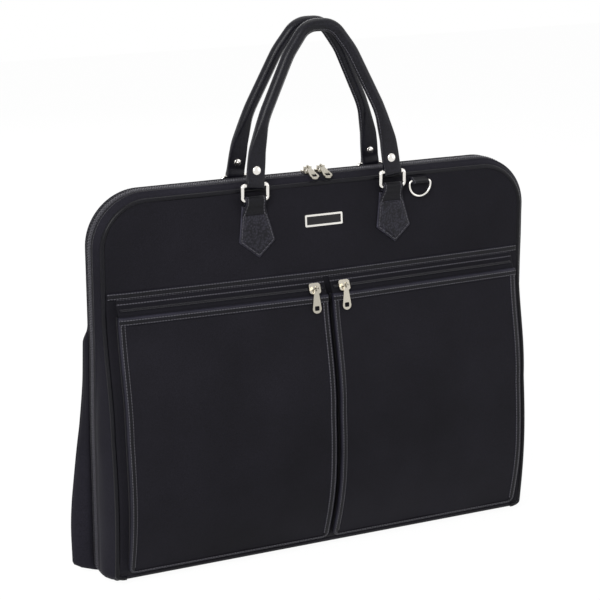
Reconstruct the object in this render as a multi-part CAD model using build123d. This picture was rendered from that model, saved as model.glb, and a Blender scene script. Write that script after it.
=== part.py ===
from build123d import *
import math
import os

# Two-fold garment bag, closed and standing on its fold.
# Millimetres. X runs along the bag's width, Y from its front to its rear, Z up.
# The origin is in the middle of the bottom fold, on the plane where the two halves part.

# Overall
WIDTH = 540.0
HEIGHT = 446.0
HALF_DEPTH_TOP = 20.0
HALF_DEPTH_LOW = 40.0
LOW_Z = 0.4 * HEIGHT
SLOPE_TOP_Z = 0.74 * HEIGHT
TOP_CORNER_R = 55.0
PARTING = 0.2
SEAT = 0.15
KNOT_SPACING = 48.0
PANEL_GAP = 0.35

# Walls
PANEL_T = 4.0
LINING_T = 1.0
GUSSET_T = 2.4
PIPING_R = 2.8
PIPING_BEND_R = 200.0
FOLD_H = 14.0
FOLD_T = 3.0
ARCH = 8.0
BULGE = 16.0
BULGE_FLAT = 12.0
BULGE_END = WIDTH / 2 - 25
BULGE_END_SHARE = 0.25

# Zips, sliders and pulls
COIL_W = 3.0
COIL_T = 3.0
TAPE_W = 7.4
TAPE_T = 1.8
SLIDER_L = 14.0
SLIDER_W = 12.6
SLIDER_CORNER_R = 3.0
SLIDER_CHEEK = 0.6
SLIDER_T = 2.8
SLIDER_PITCH = 17.0
SLIDER_GAP = 0.3
BRIDGE_L = 9.0
BRIDGE_T = 1.6
BAR_R = 0.8
BAR_UP = 3.4
LINK_R = 2.2
LINK_WIRE = 0.6
LINK_T = 1.0
LINK_HOLE_R = 1.05
MAIN_PULL_L = 25.0
POCKET_PULL_L = 30.0
PULL_NECK_W = 4.8
PULL_W = 11.0
PULL_T = 1.6
PULL_DROP = 22.0

# Front pockets
TRIM_TOP_Z = HEIGHT - 102
TRIM_H = 8.0
ZIP_UPPER_H = 9.0
POCKET_COIL_H = 3.6
ZIP_LOWER_H = 7.0
BINDING_H = 7.0
POCKET_DEPTH = 11.0
POCKET_TAPER = 6.0
POCKET_TAPER_H = 90.0
POCKET_WALL = 1.6
POCKET_GAP = 8.0
POCKET_MARGIN = 14.0
POCKET_BOTTOM_Z = 18.0
POCKET_CORNER_R = 16.0
TRIM_T = 1.5
SIDE_BINDING_W = 7.0
BINDING_T = 1.2
POCKET_COIL_UP = 1.0
POCKET_SLIDER_X = 19.0

# Rear pocket
REAR_POCKET_TOP_Z = HEIGHT - 161
REAR_POCKET_DEPTH = 9.0

# Handle fittings
TAB_X = 88.0
TAB_NECK_W = 27.0
TAB_BODY_W = 45.0
TAB_T = 2.4
TAB_TOP_Z = HEIGHT - 16
TAB_SHOULDER_Z = HEIGHT - 60
TAB_TIP_Z = HEIGHT - 79
TAB_FIELD_T = 0.9
TAB_BORDER = 4.0
RING_W = 31.0
RING_H = 17.0
RING_R = 2.3
RING_CORNER_R = 3.2
RING_Z = HEIGHT - 11
RING_Y = 28.0
LOOP_T = 2.0
FIT = 0.08
HANDLE_LEAN = 5.0
HANDLE_R = 6.2
HANDLE_TOP = 181.0
HANDLE_CROWN_W = 34.0
HANDLE_HIP_W = 80.0
HANDLE_HIP_DROP = 31.0
HANDLE_KNEE_UP = 30.0
HANDLE_KNEE_IN = 9.0
HANDLE_LOW_R = 110.0
HANDLE_KNEE_R = 90.0
HANDLE_CROWN_R = 26.0
HANDLE_END_W = 21.0
HANDLE_END_T = 5.0
HANDLE_END_L = 44.0
HANDLE_SPLAY = 7.0
RIVET_CAP_R = 5.2
RIVET_SHANK_R = 1.6
RIVET_UP = 31.0
RIVET_CAP_T = 1.2
RIVET_BURR_T = 0.9

# D-rings
D_X = 126.0
D_W = 28.0
D_H = 18.0
D_R = 1.4
D_Z = HEIGHT - 9
D_Y = 26.5
D_TAB_W = 21.0

# Name plate, left bare
PLATE_Z = HEIGHT - 43
PLATE_W = 48.0
PLATE_H = 14.0
PLATE_T = 2.0
PLATE_RIM = 2.2

# Inside
STRAP_Z = 150.0
STRAP_H = 25.0
STRAP_T = 1.4
STRAP_END = 30.0
BUCKLE_W = 48.0
BUCKLE_T = 5.0
BUCKLE_LAP = 3.0
BUCKLE_SLOT_X = 17.0
BUCKLE_SLOT_W = 4.0
HANGER_Z = HEIGHT - 41
PATCH_W = 64.0
PATCH_H = 36.0
PATCH_T = 1.6
CLIP_W = 28.0
CLIP_H = 20.0
CLIP_T = 5.5
CLIP_WALL = 5.0

BULGE_MID = (BULGE_FLAT + BULGE_END) / 2
HALF_STATIONS = (BULGE_FLAT, BULGE_MID, BULGE_END, WIDTH / 2)
STATIONS = [-x for x in reversed(HALF_STATIONS)] + list(HALF_STATIONS)
CREST_Z = HEIGHT + ARCH

made = {}


def keep(name, shape):
    """Name a sub-part and store it for export."""
    shape.label = name
    made[name] = shape
    return shape


def base_depth(z):
    """Depth of a half's face at its edge: thin above, thick below."""
    if z <= LOW_Z:
        return HALF_DEPTH_LOW
    if z >= SLOPE_TOP_Z:
        return HALF_DEPTH_TOP
    share = (z - LOW_Z) / (SLOPE_TOP_Z - LOW_Z)
    eased = (1 - math.cos(math.pi * share)) / 2
    return HALF_DEPTH_LOW + (HALF_DEPTH_TOP - HALF_DEPTH_LOW) * eased


def bulge_share(x):
    """How far the face swells at one place across the width, from 0 to 1."""
    a = abs(x)
    if a <= BULGE_FLAT:
        return 1.0
    if a <= BULGE_END:
        return 1 - (1 - BULGE_END_SHARE) * (a - BULGE_FLAT) / (BULGE_END - BULGE_FLAT)
    return BULGE_END_SHARE * (WIDTH / 2 - a) / (WIDTH / 2 - BULGE_END)


def bulge(x, z):
    """Swelling of a filled half's face."""
    up = min(max((z - FOLD_H) / (HEIGHT - FOLD_H), 0), 1)
    return BULGE * bulge_share(x) * math.sin(math.pi * up ** 0.9)


def face_y(x, z):
    """Distance of a half's outer face from the parting plane."""
    return base_depth(z) + bulge(x, z)


def pocket_rise(z):
    """How far the pocket fronts stand off the panel: flat above and below, full between."""
    low = TRIM_TOP_Z - TRIM_H
    mouth = low - ZIP_UPPER_H - POCKET_COIL_H - ZIP_LOWER_H
    share = min(max((low - z) / (low - mouth), 0), 1)
    up = min(max((z - POCKET_BOTTOM_Z) / POCKET_TAPER_H, 0), 1)
    thin = (1 - math.sin(math.pi / 2 * up)) * POCKET_TAPER
    return TRIM_T + (POCKET_DEPTH - TRIM_T - thin) * share


def sheet(x0, x1, z0, z1, inner, outer, side=-1):
    """A curved sheet that follows a half's face between two offsets."""
    xs = [x0] + [s for s in STATIONS if x0 + 1 < s < x1 - 1] + [x1]
    knots = max(2, math.ceil((z1 - z0) / KNOT_SPACING))
    zs = [z0 + (z1 - z0) * i / knots for i in range(knots + 1)]
    inner_at = inner if callable(inner) else lambda z: inner
    outer_at = outer if callable(outer) else lambda z: outer
    sections = []
    for x in xs:
        far = [(x, side * (face_y(x, z) + outer_at(z)), z) for z in zs]
        near = [(x, side * (face_y(x, z) + inner_at(z)), z) for z in zs]
        wire = Wire([
            Spline(*far),
            Line(far[-1], near[-1]),
            Spline(*reversed(near)),
            Line(near[0], far[0]),
        ])
        sections.append(Face(wire))
    return loft(sections, ruled=True)


def outline(grow, low=0.0):
    """The bag's front outline, grown outwards, as a face on the XZ plane."""
    half = WIDTH / 2 + grow
    top = HEIGHT + grow
    path = FilletPolyline(
        (-half, 0, low), (-half, 0, top), (half, 0, top), (half, 0, low),
        radius=TOP_CORNER_R + grow,
    )
    return Face(Wire([*path.edges(), Line((half, 0, low), (-half, 0, low))]))


def prism(face, y0, y1):
    """A face on the XZ plane extruded from y0 to y1."""
    low, high = min(y0, y1), max(y0, y1)
    return Pos(0, low, 0) * extrude(face, high - low, dir=(0, 1, 0))


def ring_band(inner, outer, y0, y1, side):
    """A band round the sides and the top, between two offsets of the outline."""
    band = prism(outline(outer, FOLD_H), side * y0, side * y1)
    return band - prism(outline(inner, FOLD_H - 1), side * (y0 - 1), side * (y1 + 1))


def cut_box(x0, x1, y0, y1, z0, z1):
    """A box between six planes."""
    middle = Pos((x0 + x1) / 2, (y0 + y1) / 2, (z0 + z1) / 2)
    return middle * Box(abs(x1 - x0), abs(y1 - y0), abs(z1 - z0))


def xz_polygon(points):
    """A closed polygon on the XZ plane."""
    return Face(Wire(Polyline(*[(x, 0, z) for x, z in points], close=True).edges()))


def yz_prism(points, x0, x1):
    """A closed YZ polygon extruded along X."""
    face = Face(Wire(Polyline(*[(x0, y, z) for y, z in points], close=True).edges()))
    return extrude(face, x1 - x0, dir=(1, 0, 0))


def rounded_slab(x0, x1, z0, z1, radius, y0, y1):
    """A plate with rounded lower corners, used to trim pockets."""
    path = FilletPolyline((x0, 0, z1), (x0, 0, z0), (x1, 0, z0), (x1, 0, z1), radius=radius)
    return prism(Face(Wire([*path.edges(), Line((x1, 0, z1), (x0, 0, z1))])), y0, y1)


def x_cylinder(x, y, z, radius, length):
    """A cylinder along X, centred on a point."""
    return Pos(x, y, z) * Rot(0, 90, 0) * Cylinder(radius, length)


def half_shell(name, side):
    """Panel, lining, gusset, piping, zip tape, coil and fold of one half."""
    panel_edge = outline(-PIPING_R, FOLD_H + 0.2)
    trim = prism(panel_edge, -2 * HALF_DEPTH_LOW, 2 * HALF_DEPTH_LOW)
    panel = sheet(-WIDTH / 2, WIDTH / 2, FOLD_H, HEIGHT, -PANEL_T, 0, side) & trim
    keep(f"{name}_panel", panel)

    lining_edge = prism(outline(-2 * GUSSET_T - 1, FOLD_H + 2), -90, 90)
    lining = sheet(-WIDTH / 2, WIDTH / 2, FOLD_H, HEIGHT, -PANEL_T - LINING_T - 0.1, -PANEL_T - 0.1, side)
    keep(f"{name}_lining", lining & lining_edge)

    gusset_start = COIL_W + TAPE_W + PARTING + 0.2
    arch = (
        (gusset_start, ARCH - 0.6), ((gusset_start + HALF_DEPTH_TOP) / 2, ARCH - 3.0),
        (HALF_DEPTH_TOP - 1, 0.6), (HALF_DEPTH_LOW + 1, 0.0),
    )
    outer = loft([Pos(0, side * y, 0) * outline(grow, FOLD_H) for y, grow in arch], ruled=True)
    inner = loft([Pos(0, side * y, 0) * outline(grow - GUSSET_T, FOLD_H - 1) for y, grow in arch], ruled=True)
    edge_points = [(z, base_depth(z) - PANEL_T - 0.1) for z in range(0, int(HEIGHT), 30)]
    room = [(0, 0)] + [(side * y, z) for z, y in edge_points]
    room += [(side * (HALF_DEPTH_TOP - PANEL_T - 0.1), HEIGHT + 40), (0, HEIGHT + 40)]
    inside = yz_prism(room, -WIDTH, WIDTH)
    gusset = (outer - inner) & inside
    keep(f"{name}_gusset", gusset)

    low = (WIDTH / 2 - PIPING_R / 2, side * (HALF_DEPTH_LOW - PIPING_R / 2))
    high = side * (HALF_DEPTH_TOP - PIPING_R / 2)
    top = HEIGHT - PIPING_R / 2
    left = [
        (-low[0], low[1], FOLD_H), (-low[0], low[1], LOW_Z + 10),
        (-low[0], high, SLOPE_TOP_Z - 10), (-low[0], high, top),
    ]
    right = [(-x, y, z) for x, y, z in reversed(left)]
    bends = [PIPING_BEND_R, PIPING_BEND_R, TOP_CORNER_R]
    path = FilletPolyline(*left, *right, radius=[*bends, *reversed(bends)])
    cord = sweep((path ^ 0) * Circle(PIPING_R), path=path)
    keep(f"{name}_piping", cord - made[f"{name}_panel"] - made[f"{name}_gusset"])

    tape = ring_band(ARCH - 0.4 - TAPE_T, ARCH - 0.4, PARTING + COIL_W, PARTING + COIL_W + TAPE_W, side)
    keep(f"main_zip_tape_{name}", tape)
    coil = ring_band(ARCH - COIL_T, ARCH, PARTING, PARTING + COIL_W, side)
    keep(f"main_zip_coil_{name}", coil)

    fold_outer = [
        (side * PARTING, SEAT), (side * (HALF_DEPTH_LOW - 22), SEAT), (side * (HALF_DEPTH_LOW - 8), 3),
        (side * (HALF_DEPTH_LOW - 1), FOLD_H - 4), (side * HALF_DEPTH_LOW, FOLD_H),
    ]
    fold_inner = [
        (side * (HALF_DEPTH_LOW - FOLD_T), FOLD_H), (side * (HALF_DEPTH_LOW - 10), 6 + FOLD_T / 2),
        (side * (HALF_DEPTH_LOW - 22), SEAT + FOLD_T), (side * PARTING, SEAT + FOLD_T),
    ]
    keep(f"{name}_fold", yz_prism(fold_outer + fold_inner, -WIDTH / 2, WIDTH / 2))


def front_pockets():
    """Trim band, pocket zips and two gusseted patch pockets on the front panel."""
    trim_low = TRIM_TOP_Z - TRIM_H
    coil_top = trim_low - ZIP_UPPER_H
    coil_low = coil_top - POCKET_COIL_H
    mouth_z = coil_low - ZIP_LOWER_H
    lip_z = mouth_z - BINDING_H
    band_x = WIDTH / 2 - PIPING_R - 2
    keep("front_trim_band", sheet(-band_x, band_x, trim_low, TRIM_TOP_Z, PANEL_GAP, TRIM_T + PANEL_GAP))

    for hand, sign in (("left", -1), ("right", 1)):
        near = sign * POCKET_GAP / 2
        far = sign * (WIDTH / 2 - POCKET_MARGIN)
        x0, x1 = min(near, far), max(near, far)
        skin = POCKET_WALL

        upper = sheet(x0, x1, coil_top, trim_low - 0.05, lambda z: pocket_rise(z) - 1.2, pocket_rise)
        lower = sheet(x0, x1, mouth_z, coil_low, lambda z: pocket_rise(z) - 1.2, pocket_rise)
        keep(f"pocket_zip_tape_{hand}", Compound([upper, lower]))
        coil = sheet(
            x0 + 2, x1 - 2, coil_low + 0.05, coil_top - 0.05,
            lambda z: pocket_rise(z) - 1.3, lambda z: pocket_rise(z) + POCKET_COIL_UP,
        )
        keep(f"pocket_zip_coil_{hand}", coil)

        block = sheet(x0 - 3, x1 + 3, POCKET_BOTTOM_Z - 3, mouth_z - 0.05, PANEL_GAP, pocket_rise)
        room = sheet(
            x0 - 3, x1 + 3, POCKET_BOTTOM_Z - 5, mouth_z + 5,
            PANEL_GAP + skin / 2, lambda z: pocket_rise(z) - skin,
        )
        room_edge = rounded_slab(
            x0 + skin, x1 - skin, POCKET_BOTTOM_Z + skin, HEIGHT, POCKET_CORNER_R - skin, -90, 0
        )
        block_edge = rounded_slab(x0, x1, POCKET_BOTTOM_Z, HEIGHT, POCKET_CORNER_R, -90, 0)
        keep(f"pocket_{hand}", (block & block_edge) - (room & room_edge))

        field = rounded_slab(
            x0 + SIDE_BINDING_W, x1 - SIDE_BINDING_W, POCKET_BOTTOM_Z + SIDE_BINDING_W, lip_z,
            POCKET_CORNER_R - SIDE_BINDING_W, -90, 0,
        )
        cover = sheet(
            x0 - 3, x1 + 3, POCKET_BOTTOM_Z - 3, mouth_z - 0.05,
            lambda z: pocket_rise(z) + 0.05, lambda z: pocket_rise(z) + BINDING_T,
        )
        keep(f"pocket_binding_{hand}", (cover & block_edge) - field)


def rear_pocket():
    """An open-topped patch pocket over the lower rear panel."""
    edge = WIDTH / 2 - POCKET_MARGIN
    skin = POCKET_WALL
    block = sheet(
        -edge - 3, edge + 3, POCKET_BOTTOM_Z - 3, REAR_POCKET_TOP_Z, PANEL_GAP, REAR_POCKET_DEPTH,
        side=1,
    )
    room = sheet(
        -edge - 3, edge + 3, POCKET_BOTTOM_Z - 5, REAR_POCKET_TOP_Z + 5,
        PANEL_GAP + skin / 2, REAR_POCKET_DEPTH - skin, side=1,
    )
    room_edge = rounded_slab(
        -edge + skin, edge - skin, POCKET_BOTTOM_Z + skin, HEIGHT, POCKET_CORNER_R - skin, 0, 90
    )
    block_edge = rounded_slab(-edge, edge, POCKET_BOTTOM_Z, HEIGHT, POCKET_CORNER_R, 0, 90)
    keep("rear_pocket", (block & block_edge) - (room & room_edge))
    lip = sheet(
        -edge, edge, REAR_POCKET_TOP_Z - SIDE_BINDING_W, REAR_POCKET_TOP_Z,
        REAR_POCKET_DEPTH + 0.2, REAR_POCKET_DEPTH + 1.4, side=1,
    )
    keep("rear_pocket_binding", lip)


def bar_loop(x, side, y, z, width, bar_r, drop):
    """A leather loop round a metal bar, ending in a tongue that lies on the panel."""
    outer_r = bar_r + LOOP_T
    front = side * (y + outer_r)
    tongue = [
        (front, z), (front + side * -1.2, z - 0.45 * drop), (side * (HALF_DEPTH_TOP + 3), z - drop),
        (side * (HALF_DEPTH_TOP - 4), z - drop), (side * (HALF_DEPTH_TOP - 4), z + 1),
        (side * (y - bar_r), z + outer_r - 0.6),
    ]
    loop = yz_prism(tongue, x - width / 2, x + width / 2) + x_cylinder(x, side * y, z, outer_r, width)
    return loop - x_cylinder(x, side * y, z, bar_r + FIT, width + 2)


def tab_outline(x, shrink):
    """A handle tab: a neck that widens to shoulders and ends in a point."""
    neck = TAB_NECK_W / 2 - shrink
    body = TAB_BODY_W / 2 - shrink
    top = TAB_TOP_Z - 4 * shrink
    tip = TAB_TIP_Z + 1.3 * shrink
    shoulder = TAB_SHOULDER_Z + 0.4 * shrink
    return xz_polygon([
        (x - neck, top), (x - body, shoulder), (x, tip), (x + body, shoulder), (x + neck, top),
    ])


def panel_backing(side, x, reach):
    """Everything behind the face of a half near one place, for trimming what lies on it."""
    return sheet(x - reach, x + reach, TAB_TIP_Z - 10, HEIGHT + 12, -HALF_DEPTH_TOP, 0.08, side)


def handle_tab(name, side, x):
    """A pointed leather tab with a raised field and the loop that carries a ring."""
    reach = TAB_BODY_W / 2 + 2
    base = sheet(x - reach, x + reach, TAB_TIP_Z - 2, TAB_TOP_Z + 8, 0.08, TAB_T, side)
    field = sheet(x - reach, x + reach, TAB_TIP_Z - 2, TAB_TOP_Z + 8, TAB_T - 0.3, TAB_T + TAB_FIELD_T, side)
    tab = base & prism(tab_outline(x, 0), -90, 90)
    tab += field & prism(tab_outline(x, TAB_BORDER), -90, 90)
    loop = bar_loop(x, side, RING_Y, RING_Z, RING_W - 2 * RING_CORNER_R - 0.2, RING_R, 16)
    tab += loop - panel_backing(side, x, reach)
    keep(name, tab - x_cylinder(x, side * RING_Y, RING_Z, RING_R + FIT, 60))


def ring(name, side, x):
    """A rectangular ring; its lower bar turns in the tab's loop."""
    half_w = RING_W / 2
    y = side * RING_Y
    path = FilletPolyline(
        (x - half_w, y, RING_Z), (x + half_w, y, RING_Z), (x + half_w, y, RING_Z + RING_H),
        (x - half_w, y, RING_Z + RING_H), radius=RING_CORNER_R, close=True,
    )
    keep(name, sweep((path ^ 0) * Circle(RING_R), path=path))


def handle(name, side):
    """A rolled grip with two flat ends folded round the rings and riveted."""
    bar_z = RING_Z + RING_H
    y = side * RING_Y
    turn = Pos(0, y, bar_z) * Rot(side * HANDLE_LEAN, 0, 0) * Pos(0, -y, -bar_z)
    end_top = bar_z + HANDLE_END_L
    lean_in = math.tan(math.radians(HANDLE_SPLAY))
    start_z = end_top - HANDLE_R
    start_x = TAB_X - (HANDLE_END_L - HANDLE_R) * lean_in
    knee_x = start_x - HANDLE_KNEE_IN
    apex = HEIGHT + HANDLE_TOP
    right = [
        (HANDLE_CROWN_W / 2, y, apex), (HANDLE_HIP_W / 2, y, apex - HANDLE_HIP_DROP),
        (knee_x, y, end_top + HANDLE_KNEE_UP), (start_x, y, start_z),
    ]
    left = [(-x, y, z) for x, y, z in reversed(right)]
    bends = [HANDLE_LOW_R, HANDLE_KNEE_R, HANDLE_CROWN_R]
    path = FilletPolyline(*left, *right, radius=[*bends, *reversed(bends)])
    grip = sweep((path ^ 0) * Circle(HANDLE_R), path=path)
    rivets = []
    for sign in (-1, 1):
        tilt = Pos(sign * TAB_X, y, bar_z) * Rot(0, -sign * HANDLE_SPLAY, 0)
        end = tilt * Pos(0, 0, HANDLE_END_L / 2) * Box(HANDLE_END_W, HANDLE_END_T, HANDLE_END_L)
        eye = x_cylinder(sign * TAB_X, y, bar_z, RING_R + LOOP_T, HANDLE_END_W)
        grip += end + eye
        seat = tilt * Pos(0, 0, RIVET_UP) * Rot(side * 90, 0, 0)
        half_t = HANDLE_END_T / 2
        shank = Cylinder(RIVET_SHANK_R, HANDLE_END_T)
        cap = Pos(0, 0, -half_t) * Cylinder(RIVET_CAP_R, 2 * RIVET_CAP_T)
        burr = Pos(0, 0, half_t) * Cylinder(RIVET_CAP_R - RIVET_CAP_T, 2 * RIVET_BURR_T)
        rivets.append(seat * (shank + cap + burr))
    for rivet in rivets:
        grip -= rivet
    bar_room = x_cylinder(0, y, bar_z, RING_R + FIT, 4 * TAB_X)
    keep(f"{name}_strap", turn * grip - bar_room)
    keep(f"{name}_rivets", turn * Compound(rivets))


def d_ring(name, side, x):
    """A D-ring hanging from a short leather tab."""
    y = side * D_Y
    half = D_W / 2
    path = FilletPolyline(
        (x - half, y, D_Z), (x + half, y, D_Z), (x + half, y, D_Z - 7), (x + half - 5, y, D_Z - D_H),
        (x - half + 5, y, D_Z - D_H), (x - half, y, D_Z - 7),
        radius=[2.0, 2.0, 8.0, 7.0, 7.0, 8.0], close=True,
    )
    keep(f"{name}_d_ring", sweep((path ^ 0) * Circle(D_R), path=path))
    cap_top = HEIGHT - 1.5 * PIPING_R - 0.3
    cap = sheet(x - D_TAB_W / 2, x + D_TAB_W / 2, D_Z - 4, cap_top, 0.08, 2.0, side)
    loop = x_cylinder(x, y, D_Z, D_R + LOOP_T, D_TAB_W)
    neck = cut_box(x - D_TAB_W / 2, x + D_TAB_W / 2, side * HALF_DEPTH_TOP, y, D_Z, D_Z + D_R + LOOP_T)
    body = loop + neck + cap - panel_backing(side, x, D_W)
    keep(f"{name}_d_ring_tab", body - x_cylinder(x, y, D_Z, D_R + FIT, 60))


def name_plate():
    """A metal frame round a recessed, bare field."""
    half_w, half_h = PLATE_W / 2, PLATE_H / 2
    zone = Pos(0, 0, PLATE_Z) * Rot(90, 0, 0) * extrude(RectangleRounded(PLATE_W, PLATE_H, 1.5), 90)
    hole = Pos(0, 0, PLATE_Z) * extrude(
        Plane.XZ * RectangleRounded(PLATE_W - 2 * PLATE_RIM, PLATE_H - 2 * PLATE_RIM, 0.8), 90
    )
    body = sheet(-half_w - 1, half_w + 1, PLATE_Z - half_h - 1, PLATE_Z + half_h + 1, 0.08, PLATE_T)
    insert = sheet(-half_w - 1, half_w + 1, PLATE_Z - half_h - 1, PLATE_Z + half_h + 1, 0.08, PLATE_T - 1.1)
    keep("name_plate_frame", (body & zone) - hole)
    keep("name_plate_insert", insert & hole)


def zip_pull(length, place):
    """A flat stamped link and a pull, made lying along -Y from the slider's bar, then placed."""
    link_centre = LINK_R - LINK_WIRE - BAR_R - FIT
    link = x_cylinder(0, -link_centre, 0, LINK_R + LINK_WIRE, LINK_T)
    link -= x_cylinder(0, -link_centre, 0, LINK_R - LINK_WIRE, 2 * LINK_T)
    hole_at = link_centre + LINK_R
    head = hole_at - LINK_HOLE_R - LINK_WIRE
    tip_r = PULL_W / 2
    blade = Polyline(
        (-PULL_NECK_W / 2, -head), (PULL_NECK_W / 2, -head), (tip_r, -length + tip_r),
    )
    tip = CenterArc((0, -length + tip_r), tip_r, 180, 180)
    side = Line((-tip_r, -length + tip_r), (-PULL_NECK_W / 2, -head))
    plate = extrude(Face(Wire([*blade.edges(), tip, side])), PULL_T / 2, both=True)
    plate -= Pos(0, -hole_at, 0) * Cylinder(LINK_HOLE_R, 2 * PULL_T)
    window = Pos(0, -length + tip_r + 0.4, 0) * Box(PULL_W - 5.2, PULL_W - 5.6, 2 * PULL_T)
    plate -= fillet(window.edges().filter_by(Axis.Z), 1.2)
    return place * link, place * plate


def slider_body(place):
    """A slider in its own frame: the zip runs along X, its face looks to -Y, the coil's top is y = 0."""
    near, far = -SLIDER_GAP, -SLIDER_GAP - SLIDER_T
    half_l, half_w = SLIDER_L / 2, SLIDER_W / 2
    body = cut_box(-half_l, half_l, near, far, -half_w, half_w)
    body = fillet(body.edges().filter_by(Axis.Y), SLIDER_CORNER_R)
    for sign in (-1, 1):
        edge = sign * half_w
        cheek_l = half_l - SLIDER_CORNER_R
        body += cut_box(-cheek_l, cheek_l, SLIDER_GAP, near, edge, sign * (COIL_W + SLIDER_CHEEK))
    bar_y = far - BAR_UP
    foot = BRIDGE_L / 2 - BRIDGE_T
    for sign in (-1, 1):
        body += cut_box(sign * foot, sign * BRIDGE_L / 2, far, bar_y - BAR_R, -BRIDGE_T, BRIDGE_T)
    body += x_cylinder(0, bar_y, 0, BAR_R, 2 * foot)
    return place * body


def main_slider(hand, sign):
    """One slider of the main zip, on the crest, with its pull lying over the front edge."""
    upright = Pos(sign * SLIDER_PITCH / 2, 0, CREST_Z) * Rot(-90, 0, 0)
    keep(f"main_slider_{hand}", slider_body(upright))
    bar = Pos(sign * SLIDER_PITCH / 2, 0, CREST_Z + SLIDER_GAP + SLIDER_T + BAR_UP)
    link, plate = zip_pull(MAIN_PULL_L, bar * Rot(PULL_DROP, 0, 0))
    keep(f"main_link_{hand}", link)
    keep(f"main_pull_{hand}", plate)


def pocket_slider(hand, sign):
    """One pocket slider on the sloping zip, with its pull hanging over the pocket."""
    coil_z = TRIM_TOP_Z - TRIM_H - ZIP_UPPER_H - POCKET_COIL_H / 2
    x = sign * POCKET_SLIDER_X
    run = BULGE_END - BULGE_FLAT
    fall = (1 - BULGE_END_SHARE) * bulge(0, coil_z) / run
    plan_turn = sign * math.degrees(math.atan(fall))
    slope = (pocket_rise(coil_z - 1) - pocket_rise(coil_z + 1)) / 2
    tilt = -math.degrees(math.atan(slope))
    y = -(face_y(x, coil_z) + pocket_rise(coil_z) + POCKET_COIL_UP / math.cos(math.radians(tilt)))
    seat = Pos(x, y, coil_z) * Rot(0, 0, plan_turn) * Rot(tilt, 0, 0)
    keep(f"pocket_slider_{hand}", slider_body(seat))
    reach = SLIDER_GAP + SLIDER_T + BAR_UP
    bar = seat * Pos(0, -reach, 0)
    spot = bar.position
    off_front = POCKET_DEPTH + BINDING_T + PULL_T / 2 + 0.4
    leans = [
        math.atan((face_y(x, spot.Z - drop) + off_front + spot.Y) / drop)
        for drop in (12, 18, 24, POCKET_PULL_L)
    ]
    hang = 90 - math.degrees(max(leans))
    link, plate = zip_pull(POCKET_PULL_L, Pos(*spot) * Rot(0, 0, plan_turn) * Rot(hang, 0, 0))
    keep(f"pocket_link_{hand}", link)
    keep(f"pocket_pull_{hand}", plate)


def garment_fittings():
    """The tie strap with its buckle and the hanger clip inside the rear half."""
    hug = -PANEL_T - LINING_T - 0.2
    reach = WIDTH / 2 - STRAP_END
    low, high = STRAP_Z - STRAP_H / 2, STRAP_Z + STRAP_H / 2
    keep("garment_strap", sheet(-reach, reach, low, high, hug - STRAP_T, hug, side=1))
    corner_z = (low - BUCKLE_LAP, high + BUCKLE_LAP)
    face = min(face_y(BUCKLE_W / 2, z) for z in corner_z) + hug - STRAP_T - 0.1
    buckle = cut_box(-BUCKLE_W / 2, BUCKLE_W / 2, face - BUCKLE_T, face, *corner_z)
    buckle = fillet(buckle.edges().filter_by(Axis.Y), BUCKLE_LAP)
    for x in (-BUCKLE_SLOT_X, BUCKLE_SLOT_X):
        slot = cut_box(x - BUCKLE_SLOT_W / 2, x + BUCKLE_SLOT_W / 2, face - 2 * BUCKLE_T, HEIGHT, low, high)
        buckle -= slot
    keep("strap_buckle", buckle)

    patch_low, patch_high = HANGER_Z - PATCH_H / 2, HANGER_Z + PATCH_H / 2
    keep("hanger_patch", sheet(-PATCH_W / 2, PATCH_W / 2, patch_low, patch_high, hug - PATCH_T, hug, side=1))
    clip_z = (HANGER_Z - CLIP_H / 2, HANGER_Z + CLIP_H / 2)
    wall = min(face_y(CLIP_W / 2, z) for z in clip_z) + hug - PATCH_T - 0.1
    clip = cut_box(-CLIP_W / 2, CLIP_W / 2, wall - CLIP_T, wall, *clip_z)
    mouth = CLIP_W / 2 - CLIP_WALL
    clip -= cut_box(-mouth, mouth, wall - 2 * CLIP_T, wall - PATCH_T, clip_z[0] + CLIP_WALL, HEIGHT)
    keep("hanger_clip", clip)


def export_all():
    """Write each sub-part to its own STEP file."""
    os.makedirs("parts", exist_ok=True)
    for name, shape in made.items():
        export_step(shape, f"parts/{name}.step")


half_shell("front", -1)
half_shell("rear", 1)
front_pockets()
rear_pocket()
for half, half_side in (("front", -1), ("rear", 1)):
    for hand, hand_sign in (("left", -1), ("right", 1)):
        handle_tab(f"{half}_tab_{hand}", half_side, hand_sign * TAB_X)
        ring(f"{half}_ring_{hand}", half_side, hand_sign * TAB_X)
    handle(f"{half}_handle", half_side)
d_ring("front", -1, D_X)
d_ring("rear", 1, -D_X)
name_plate()
for hand, hand_sign in (("left", -1), ("right", 1)):
    main_slider(hand, hand_sign)
    pocket_slider(hand, hand_sign)
garment_fittings()
export_all()
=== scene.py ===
import bpy
import bmesh
import math
from mathutils import Matrix, Vector, noise


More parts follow.
